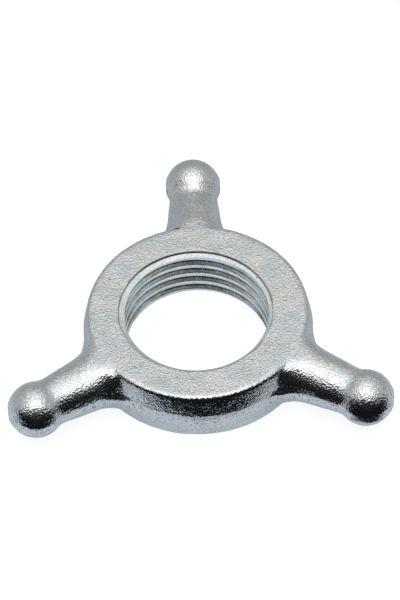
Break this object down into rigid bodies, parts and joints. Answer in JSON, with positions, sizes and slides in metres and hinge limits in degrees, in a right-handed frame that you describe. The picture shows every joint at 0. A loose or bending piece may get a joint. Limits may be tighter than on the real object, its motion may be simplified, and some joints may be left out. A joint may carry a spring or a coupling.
{
  "type": "lock nut",
  "caption": "Forged ring nut with an internal screw thread and round radial arms ending in balls, run up a screw by hand or with a bar to lock a fitting in place.",
  "frame": {"origin": "on the bore's axis, halfway between the two flat faces", "axes": "+Z along the bore's axis, out of the face on the side with more draft; +Y along one arm"},
  "size_m": [0.0896, 0.0792, 0.014],
  "materials": {
    "zinc_plated_steel": "bright zinc plate over a blasted drop forging, satin and slightly grainy; the thread is machined"
  },
  "bodies": {
    "root": {"lock_nut": "zinc_plated_steel"}
  },
  "joints": []
}
